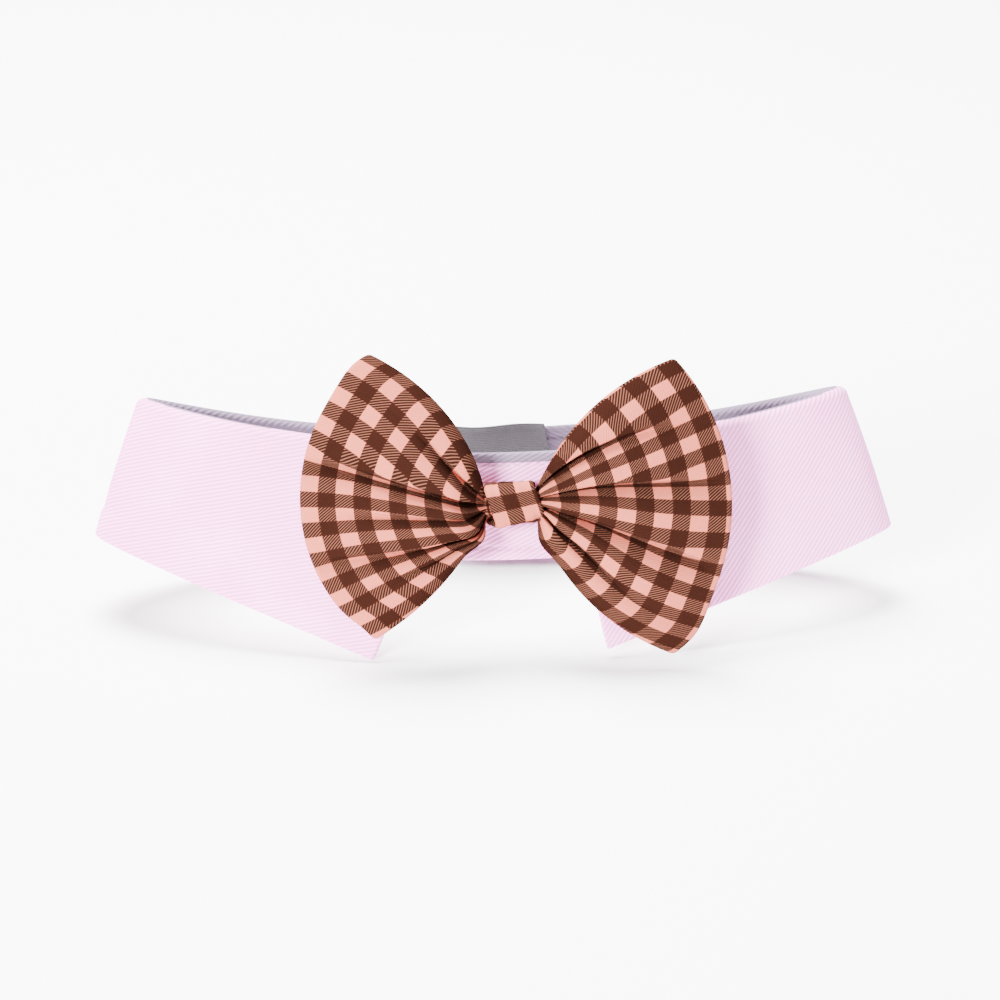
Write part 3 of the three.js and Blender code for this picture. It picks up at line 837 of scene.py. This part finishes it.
def wing_threads(wing, across, out):
    """The check's two coordinates. Each panel between folds keeps its threads nearly parallel, and
    the cloth that is left over goes into the folds."""
    stations = out[:, 0]
    gathered = np.zeros_like(across)
    for i, station in enumerate(np.clip(stations, 0, 1)):
        places = [0.0]
        shares = [wing["gather_top"]]
        for fold in wing["folds"]:
            line = float(fold_line(fold, station))
            places += [line - 0.3 * fold["width"], line + 0.3 * fold["width"]]
            shares += [fold["above"], fold["below"]]
        places.append(1.0)
        shares.append(wing["gather_bottom"])
        order = np.maximum.accumulate(places)
        gathered[i] = np.interp(across[i], order, shares)
    run = np.clip(out, 0, 1)
    height = run * across + (1 - run) * gathered
    column = (1 - out) * wing_reach(wing, across) / wing["check"] + wing["first_column"]
    column = column - wing["column_shift"] * smooth(across / 0.35)
    column = column if wing["side"] > 0 else 1 - column
    places, shifts = zip(*wing["row_shift"])
    row = height * wing["rows"] + wing["first_row"] - np.interp(across, places, shifts) * run ** 1.5
    return np.stack([column, row], -1)


def wing_rows(count):
    """Shares of the cloth's height, closer together at its two turned edges."""
    even = np.linspace(0, 1, count)
    return 0.75 * even + 0.25 * (0.5 - 0.5 * np.cos(math.pi * even))


def make_wing(wing, sizes):
    rows = wing_rows(WING_ROWS)
    rim = WING_EDGE * EDGE_SHARES / WING_REACH
    inside, near, far = WING_STATIONS
    outs = np.concatenate([
        np.linspace(SEAM_GAP / KNOT_WIDTH - 1, 0, inside)[:-1],
        np.linspace(0, NEAR_KNOT, near)[:-1],
        np.linspace(NEAR_KNOT, 1 - rim[-1], far)[:-1],
        1 - rim[::-1],
    ])
    across, out = np.meshgrid(rows, outs, indexing="xy")
    press, draw = fold_shape(wing, across, out)
    beyond = np.clip(out, 0, 1)
    edge = np.abs(2 * across - 1)
    full = np.where(out > 0, np.sin(math.pi * beyond ** 0.8), 0) * np.sqrt(np.clip(1 - edge ** 3, 0, 1))
    at_knot = (WAIST_HALF_DEPTH - WING_EDGE) * (1 - edge ** 4) * (1 - beyond)
    breadth = wing_reach(wing, across) * beyond * 1.8 + 2 * WAIST_HALF_HEIGHT
    to_rim = np.minimum((1 - out) * WING_REACH, np.minimum(across, 1 - across) * breadth)
    turned = np.clip(to_rim / WING_EDGE, 0, 1)
    wall = WING_EDGE * np.sqrt(1 - (1 - turned) ** 2)
    crown = fold_crowns(wing, across, out) * np.clip(1.15 - out, 0, 1) * smooth(beyond / 0.12)
    ripples = waves(across * 60 * MM, out * 14 * MM, 5 * MM, 20 + wing["side"])
    ripples = ripples * np.exp(-beyond / RIPPLE_REACH)
    dents = waves(across * 80 * MM, out * WING_REACH, 17 * MM, 40 + wing["side"]) * full
    relief = sizes.crown * crown + RIPPLE * ripples + WING_DENT * dents
    room = at_knot + sizes.puff * full
    behind = at_knot + BACK_PUFF * full
    pressed = np.minimum(press * sizes.fold_depth, PRESS_LIMIT * (room + behind))
    front = room + wall + (relief - pressed) * turned
    tuck, _ = fold_shape(wing, np.clip(across + BACK_SHIFT, 0, 1), out)
    eased = BACK_CROWN * sizes.crown * crown - BACK_FOLD * np.minimum(tuck, 2 * behind)
    back = behind + wall + eased * turned
    placed = wing_middle(wing, np.clip(across + draw * turned, 0, 1), out)
    plain = wing_middle(wing, across, out)
    front_points = placed - np.stack([0 * front, front, 0 * front], -1)
    back_points = plain + np.stack([0 * back, back, 0 * back], -1)
    flats = wing_threads(wing, across, out)
    ring_points = np.concatenate([front_points, back_points[:, ::-1]], 1)
    ring_flats = np.concatenate([flats, flats[:, ::-1] + [0, 2 * wing["rows"]]], 1)
    count = ring_points.shape[1]
    faces = grid_faces(len(outs), count)
    first = np.arange(len(outs) - 1) * count
    closing = np.stack([first + count - 1, first, first + count, first + 2 * count - 1], -1)
    piece = new_piece(
        wing["name"], bow_on_table(ring_points).reshape(-1, 3), np.concatenate([faces, closing]),
        ring_flats.reshape(-1, 2), material("gingham_cotton"),
    )
    finish_mesh(piece, 1e-6)
    turn_outwards(piece)
    thicken(piece, sizes.cloth_thickness)
    seat(piece, wing["node"], "gingham")
    height = wing["rows"] * wing["check"]
    length = WING_REACH + KNOT_WIDTH / 2
    2 * height
    2 * height * length * GATHER_ALLOWANCE
    return piece


def paint_inside_shade(piece, shade_material, depth, outer_shade_depth=None):
    """Paints shade: gives the faces that look towards the neck the dark cloth of painted shade, down to a
    depth below the top edge.

    It can also paint shade on the outside, over a strip down to a depth from the top edge."""
    mesh = piece.data
    mesh.materials.append(shade_material)
    normals = np.array([face.normal for face in mesh.polygons])
    local = turn_x(np.array([face.center for face in mesh.polygons]) - TABLE_SHIFT, RESTING_LEAN)
    facing = turn_x(normals, RESTING_LEAN)
    apex = math.sqrt(CONE_SLANT ** 2 - NECK_HALF_DEPTH ** 2)
    down = apex - np.sqrt(CONE_SLANT ** 2 - local[:, 0] ** 2 - local[:, 1] ** 2) - local[:, 2]
    inwards = (local[:, :2] * facing[:, :2]).sum(1) < 0
    shaded_faces = inwards & (down < depth)
    if outer_shade_depth is not None:
        shaded_faces = shaded_faces | (down < outer_shade_depth)
    mesh.polygons.foreach_set("material_index", shaded_faces.astype(np.int32))


def turn_outwards(piece):
    """Turns an open pouch's faces away from its middle."""
    mesh = piece.data
    centres = np.zeros(len(mesh.polygons) * 3)
    normals = np.zeros(len(mesh.polygons) * 3)
    areas = np.zeros(len(mesh.polygons))
    mesh.polygons.foreach_get("center", centres)
    mesh.polygons.foreach_get("normal", normals)
    mesh.polygons.foreach_get("area", areas)
    centres = centres.reshape(-1, 3)
    middle = (centres * areas[:, None]).sum(0) / areas.sum()
    outward = ((centres - middle) * normals.reshape(-1, 3)).sum(1) * areas
    if outward.sum() < 0:
        mesh.flip_normals()


def thicken(piece, thickness):
    """Gives a single layer of cloth its thickness, inwards."""
    deselect_all()
    piece.select_set(True)
    bpy.context.view_layer.objects.active = piece
    wall = piece.modifiers.new("cloth wall", "SOLIDIFY")
    wall.thickness = thickness
    wall.offset = -1.0
    bpy.ops.object.modifier_apply(modifier=wall.name)


def make_knot(sizes):
    """The strip wrapped round the waist, drawn a little askew, with its two long edges turned in."""
    inside_depth = WAIST_HALF_DEPTH + SEAM_GAP
    inside_height = WAIST_HALF_HEIGHT + SEAM_GAP
    half = KNOT_WALL / 2
    depth = inside_depth + half
    height = inside_height + half
    corner = KNOT_ROUND - half
    sides = spaced(-KNOT_WIDTH / 2, KNOT_WIDTH / 2, 0.35 * MM, half)
    outline = []
    for centre_y, centre_z, first in ((-1, -1, -180), (-1, 1, 90), (1, 1, 0), (1, -1, -90)):
        for turn in np.linspace(0, 90, 12):
            angle = math.radians(first + turn)
            outline.append((centre_y * (depth - corner) + corner * math.cos(angle),
                            centre_z * (height - corner) + corner * math.sin(angle)))
    loop = ordered_loop(outline)
    lengths = np.concatenate([[0], np.cumsum(np.hypot(*np.diff(loop, axis=0).T))])
    fine = np.linspace(0, lengths[-1], 150)
    y = np.interp(fine, lengths, loop[:, 0])
    z = np.interp(fine, lengths, loop[:, 1])
    x, s = np.meshgrid(sides, fine, indexing="ij")
    yy = np.broadcast_to(y, x.shape)
    zz = np.broadcast_to(z, x.shape)
    across = x / (KNOT_WIDTH / 2)
    nearness = smooth(-yy / depth * 0.5 + 0.5)
    rise = zz / (inside_height + KNOT_WALL)
    bend, lift = 0, 0
    for side, end, corner_x, corner_z in KNOT_CORNERS:
        share = (1 + side * across) * (1 + end * rise) / 4
        bend = bend + corner_x * share
        lift = lift + corner_z * share
    pinch = 1 - KNOT_PINCH * np.cos(across * math.pi / 2)
    points = np.stack([
        x + bend * nearness,
        -SEAM_GAP - inside_depth - KNOT_WALL + yy * pinch,
        zz * pinch + lift * nearness,
    ], -1)
    rim = np.minimum(x + KNOT_WIDTH / 2, KNOT_WIDTH / 2 - x)
    around = s * 2 * math.pi / lengths[-1]
    creases = sum(
        size * np.exp(-((across - place - CREASE_SWAY * np.sin(around * 2)) / width) ** 2)
        for place, width, size in KNOT_CREASES)
    swell = KNOT_SWELL * (1 - across ** 2)
    front_middle = front_length(loop, lengths)
    uvs = np.stack([
        (s - front_middle) / KNOT_CHECK + KNOT_FIRST_ROW,
        x / KNOT_CHECK + KNOT_FIRST_COLUMN,
    ], -1)
    middle = bow_on_table(points)
    outer = swell - creases
    if knot_faces_inwards(middle):
        middle = middle[::-1]
        uvs = uvs[::-1]
        rim = rim[::-1]
        outer = outer[::-1]
    cloth = material("gingham_cotton")
    piece = cloth_shell("knot_cloth", middle, uvs, KNOT_WALL, rim, cloth, outer, 0 * outer)
    seat(piece, "knot_wrap", "gingham")
    return piece


def ordered_loop(outline):
    """The knot's section as a closed loop that starts at the middle of its back."""
    points = np.array(outline)
    angles = np.arctan2(points[:, 1], points[:, 0])
    order = np.argsort(angles)
    points = points[order]
    start = np.array([[points[:, 0].max(), 0.0]])
    above = points[np.sort(angles) > 0]
    below = points[np.sort(angles) <= 0]
    return np.concatenate([start, above, below, start])


def front_length(loop, lengths):
    """The length round the loop at which it passes the middle of the front."""
    front = np.where(loop[:, 0] < 0)[0]
    z = loop[front, 1]
    order = np.argsort(z)
    return float(np.interp(0, z[order], lengths[front][order]))


def knot_faces_inwards(middle):
    normal = grid_normals(middle)
    away = middle - middle.reshape(-1, 3).mean(0)
    return float((normal * away).sum()) < 0


# Stitches

def stitch_mesh():
    """One stitch, modelled once: a short thread with rounded ends, lying along X."""
    deselect_all()
    bpy.ops.mesh.primitive_uv_sphere_add(segments=6, ring_count=4, radius=THREAD_RADIUS)
    made = bpy.context.object
    bpy.ops.transform.resize(value=(STITCH_LENGTH / 2 / THREAD_RADIUS, 1.0, 1.0))
    bpy.ops.object.transform_apply(location=True, rotation=True, scale=True)
    mesh = made.data
    points = np.zeros(len(mesh.vertices) * 3)
    mesh.vertices.foreach_get("co", points)
    faces = [tuple(p.vertices) for p in mesh.polygons]
    bpy.data.objects.remove(made)
    return points.reshape(-1, 3), faces


def stitch_rows():
    """Place and direction of each stitch along the band's two seams, on its outside."""
    places = []
    start = -HALF_ROUND - TAB_END + BAND_SEAM_INSET
    end = HALF_ROUND - TOP_END - BAND_SEAM_INSET
    for down in (BAND_SEAM_INSET, BAND_HEIGHT - BAND_SEAM_INSET):
        for s in np.arange(start, end, STITCH_PITCH):
            ends = []
            for length in (s, s + 0.2 * MM):
                under = dive(length)
                out = -OVERLAP_INSET * under + BAND_HALF - STITCH_SINK * BAND_GROOVE_DEPTH
                ends.append(on_table(collar_point(length, out, down - TAB_RISE * under, BAND_FLARE)))
            places.append((ends[0], ends[1] - ends[0]))
    return places


def make_stitches():
    points, faces = stitch_mesh()
    all_points = []
    all_faces = []
    for at, along in stitch_rows():
        x_axis = along / np.linalg.norm(along)
        y_axis = np.cross([0, 0, 1.0], x_axis)
        y_axis = y_axis / np.linalg.norm(y_axis)
        z_axis = np.cross(x_axis, y_axis)
        start = len(all_points) * len(points)
        all_points.append(points @ np.array([x_axis, y_axis, z_axis]) + at)
        all_faces += [tuple(start + i for i in f) for f in faces]
    joined = np.concatenate(all_points)
    uvs = np.zeros((len(joined), 2))
    piece = new_piece("band_stitches", joined, all_faces, uvs, material("sewing_thread"))
    piece.data.polygons.foreach_set("use_smooth", [True] * len(piece.data.polygons))
    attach(piece, "root")
    return piece


# Stage

def knot_front():
    """The middle of the knot's front face, on the table."""
    front = -SEAM_GAP - 2 * (WAIST_HALF_DEPTH + SEAM_GAP + KNOT_WALL)
    return bow_on_table(np.array([0.0, front, 0.0]))


def make_stage(sizes):
    deselect_all()
    bpy.ops.mesh.primitive_plane_add(size=8.0, location=(0, 0, 0))
    floor = bpy.context.object
    floor.name = "floor"
    floor.data.materials.append(floor_finish(sizes))
    world = bpy.context.scene.world or bpy.data.worlds.new("studio")
    bpy.context.scene.world = world
    world.use_nodes = True
    sky = world.node_tree.nodes["Background"]
    sky.inputs["Color"].default_value = (1.0, 1.0, 1.0, 1.0)
    sky.inputs["Strength"].default_value = sizes.sky_strength
    target = Vector(knot_front())
    for name, place, size, power in (
            ("key", (-0.75, -1.18, 0.55), 0.45, sizes.key_power),
            ("fill", (0.95, -1.10, 0.20), 0.5, sizes.fill_power),
            ("overhead", (-0.15, 0.45, 1.15), 0.8, sizes.overhead_power)):
        lamp = bpy.data.lights.new(name, "AREA")
        lamp.shape = "DISK"
        lamp.size = size
        lamp.energy = power
        holder = bpy.data.objects.new(name, lamp)
        bpy.context.scene.collection.objects.link(holder)
        holder.location = place
        holder.rotation_euler = (target - Vector(place)).to_track_quat("-Z", "Y").to_euler()


def make_camera(sizes):
    """The camera looks down at the bow as the photograph does. The knot's place in the picture sets
    where it aims."""
    rise = sizes.camera_rise
    turn = sizes.camera_turn
    back = Vector((math.sin(turn) * math.cos(rise), -math.cos(turn) * math.cos(rise), math.sin(rise)))
    right = Vector((math.cos(turn), math.sin(turn), 0.0))
    up = back.cross(right)
    centre = 500
    knot_x = 511.5
    knot_y = 504.0
    pixel = sizes.pixel_size
    aim = Vector(knot_front()) - right * ((knot_x - centre) * pixel) + up * ((knot_y - centre) * pixel)
    lens = bpy.data.cameras.new("camera")
    lens.sensor_width = 36.0
    lens.lens = 36.0 * sizes.camera_distance / (2 * centre * pixel)
    lens.clip_start = 0.01
    camera = bpy.data.objects.new("camera", lens)
    bpy.context.scene.collection.objects.link(camera)
    camera.location = aim + back * sizes.camera_distance
    camera.rotation_euler = back.to_track_quat("Z", "Y").to_euler()
    bpy.context.scene.camera = camera


# Sizes and colours that a user would change

def length_setting(name, description, default):
    return bpy.props.FloatProperty(name=name, description=description, default=default, unit="LENGTH",
                                   precision=5)


def number_setting(name, description, default, subtype="NONE"):
    return bpy.props.FloatProperty(name=name, description=description, default=default, subtype=subtype)


def colour_setting(name, description, default):
    return bpy.props.FloatVectorProperty(name=name, description=description, default=default,
                                         subtype="COLOR", size=4, min=0.0, max=1.0)


class CollarSizes(bpy.types.PropertyGroup):
    """The twill collar."""
    wale_pitch: length_setting("Wale pitch", "From one twill line to the next", 0.93 * MM)
    wale_height: length_setting("Wale height", "Relief of the twill lines", 0.15 * MM)
    band_wale_turn: number_setting("Band wale angle", "Slant of the band's twill lines, in degrees", 27.0)
    cloth_colour: colour_setting("Cloth", "Colour of the white twill", (0.97, 0.37, 0.765, 1.0))
    thread_colour: colour_setting("Thread", "Colour of the stitches", (0.72, 0.50, 0.66, 1.0))
    # painted shade: the inside's colour is dark to stand in for the shade inside the loop
    inside_shade_colour: colour_setting("Lining", "Colour of the band's inside", (0.17, 0.125, 0.185, 1.0))
    # painted shade: the label's colour is darkened for the shade it lies in
    shaded_label_colour: colour_setting("Label", "Colour of the woven label", (0.062, 0.058, 0.066, 1.0))


class BowSizes(bpy.types.PropertyGroup):
    """The check bow."""
    puff: length_setting("Puff", "How far the wings swell forwards", WING_PUFF)
    crown: length_setting("Crown", "How far the cloth rounds out between folds", 1.7 * MM)
    fold_depth: number_setting("Fold depth", "Share of the folds' depth", 1.0)
    cloth_thickness: length_setting("Cloth", "Thickness of one layer of cloth", 0.5 * MM)
    dark_share: number_setting("Dark share", "0.5 for even stripes where dark and pale threads cross", 2.0)
    twill_lines: number_setting("Twill lines", "Twill lines in a check", 5.0)
    pink: colour_setting("Pink", "Colour of the pale stripes", (0.35, 0.086, 0.058, 1.0))
    tan: colour_setting("Tan", "Pale threads where dark ones cross them", (0.092, 0.036, 0.024, 1.0))
    brown: colour_setting("Brown", "Colour of the dark stripes", (0.0125, 0.0040, 0.0026, 1.0))


class StageSizes(bpy.types.PropertyGroup):
    """The camera, lights and floor."""
    camera_rise: number_setting("Rise", "Camera's height above the horizon", math.radians(22), "ANGLE")
    camera_turn: number_setting("Turn", "Camera's turn round the collar", math.radians(-2.8), "ANGLE")
    camera_distance: length_setting("Distance", "From the knot to the camera", 900 * MM)
    pixel_size: length_setting("Pixel", "Width of a pixel at the knot, in a picture of 1000", 0.235 * MM)
    key_power: number_setting("Key", "Power of the main light, in watts", 143.0)
    fill_power: number_setting("Fill", "Power of the second light, in watts", 27.0)
    overhead_power: number_setting("Overhead", "Power of the light above, in watts", 150.0)
    sky_strength: number_setting("Sky", "Strength of the light all round", 0.38)
    floor_colour: colour_setting("Floor", "Colour of the floor", (0.95, 0.95, 0.95, 1.0))


# Operators

class MakeMaterials(bpy.types.Operator):
    """Make the cloth, thread and label finishes"""
    bl_idname = "collar.materials"
    bl_label = "Materials"

    def execute(self, context):
        collar = context.scene.collar_sizes
        twill_cloth(collar)
        inside_shade_cloth(collar)
        gingham_cloth(context.scene.bow_sizes)
        label_cloth(collar)
        tape_cloth(collar)
        thread_finish(collar)
        return {"FINISHED"}


class MakeBand(bpy.types.Operator):
    """Make the neck band"""
    bl_idname = "collar.band"
    bl_label = "Band"

    def execute(self, context):
        make_band(context.scene.collar_sizes)
        return {"FINISHED"}


class MakeLeaves(bpy.types.Operator):
    """Make the two folded leaves"""
    bl_idname = "collar.leaves"
    bl_label = "Leaves"

    def execute(self, context):
        for leaf in LEAVES:
            make_leaf(leaf)
        return {"FINISHED"}


class MakeClosure(bpy.types.Operator):
    """Make the tape between the band's two ends"""
    bl_idname = "collar.closure"
    bl_label = "Closure"

    def execute(self, context):
        make_closure()
        return {"FINISHED"}


class MakeLabel(bpy.types.Operator):
    """Make the bare woven label"""
    bl_idname = "collar.label"
    bl_label = "Label"

    def execute(self, context):
        make_label()
        return {"FINISHED"}


class MakeStitches(bpy.types.Operator):
    """Make the stitches along the band's edges"""
    bl_idname = "collar.stitches"
    bl_label = "Stitches"

    def execute(self, context):
        make_stitches()
        return {"FINISHED"}


class MakeWings(bpy.types.Operator):
    """Make the two gathered wings of the bow"""
    bl_idname = "collar.wings"
    bl_label = "Wings"

    def execute(self, context):
        for wing in WINGS:
            make_wing(wing, context.scene.bow_sizes)
        return {"FINISHED"}


class MakeKnot(bpy.types.Operator):
    """Make the strip wrapped round the bow"""
    bl_idname = "collar.knot"
    bl_label = "Knot"

    def execute(self, context):
        make_knot(context.scene.bow_sizes)
        return {"FINISHED"}


class MakeStage(bpy.types.Operator):
    """Make the camera, lights and floor"""
    bl_idname = "collar.stage"
    bl_label = "Stage"

    def execute(self, context):
        make_camera(context.scene.stage_sizes)
        make_stage(context.scene.stage_sizes)
        return {"FINISHED"}


OPERATORS = (MakeMaterials, MakeStage, MakeBand, MakeLeaves, MakeClosure, MakeLabel, MakeStitches,
             MakeKnot, MakeWings)


class CollarPanel(bpy.types.Panel):
    """Lists the collar's sizes and pieces"""
    bl_idname = "VIEW3D_PT_bow_collar"
    bl_label = "Bow collar"
    bl_space_type = "VIEW_3D"
    bl_region_type = "UI"
    bl_category = "Bow collar"

    def draw(self, context):
        for group in (context.scene.collar_sizes, context.scene.bow_sizes, context.scene.stage_sizes):
            box = self.layout.box()
            for name in group.bl_rna.properties.keys():
                if name not in ("rna_type", "name"):
                    box.prop(group, name)
        for made in OPERATORS:
            self.layout.operator(made.bl_idname)


CLASSES = (CollarSizes, BowSizes, StageSizes, *OPERATORS, CollarPanel)


def register():
    for made in CLASSES:
        bpy.utils.register_class(made)
    bpy.types.Scene.collar_sizes = bpy.props.PointerProperty(type=CollarSizes)
    bpy.types.Scene.bow_sizes = bpy.props.PointerProperty(type=BowSizes)
    bpy.types.Scene.stage_sizes = bpy.props.PointerProperty(type=StageSizes)


def unregister():
    del bpy.types.Scene.stage_sizes
    del bpy.types.Scene.bow_sizes
    del bpy.types.Scene.collar_sizes
    for made in reversed(CLASSES):
        bpy.utils.unregister_class(made)


def main():
    register()
    bpy.ops.collar.materials()
    bpy.ops.collar.stage()
    bpy.ops.collar.band()
    bpy.ops.collar.leaves()
    bpy.ops.collar.closure()
    bpy.ops.collar.label()
    bpy.ops.collar.stitches()
    bpy.ops.collar.knot()
    bpy.ops.collar.wings()


if __name__ == "__main__":
    main()
